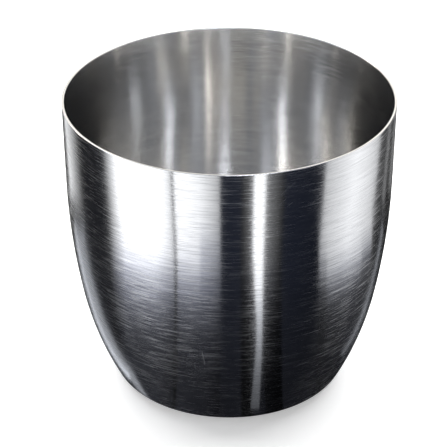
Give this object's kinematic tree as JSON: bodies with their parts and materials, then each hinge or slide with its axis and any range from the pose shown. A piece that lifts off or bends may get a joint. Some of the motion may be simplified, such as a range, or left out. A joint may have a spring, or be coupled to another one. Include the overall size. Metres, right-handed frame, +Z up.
{
  "type": "deep drawn metal cup",
  "caption": "One-piece thin-walled metal cup with an open round mouth, a rounded taper to a small flat base and a plain trimmed rim.",
  "frame": {"origin": "middle of the flat base, on the cup's axis", "axes": "+Z up the cup's axis towards its mouth; +X and +Y are any two level directions, because the cup is round"},
  "size_m": [0.08, 0.08, 0.0745],
  "materials": {
    "brushed_steel": "brushed round the axis outside, satin inside"
  },
  "bodies": {
    "root": {"cup": "brushed_steel"}
  },
  "joints": []
}
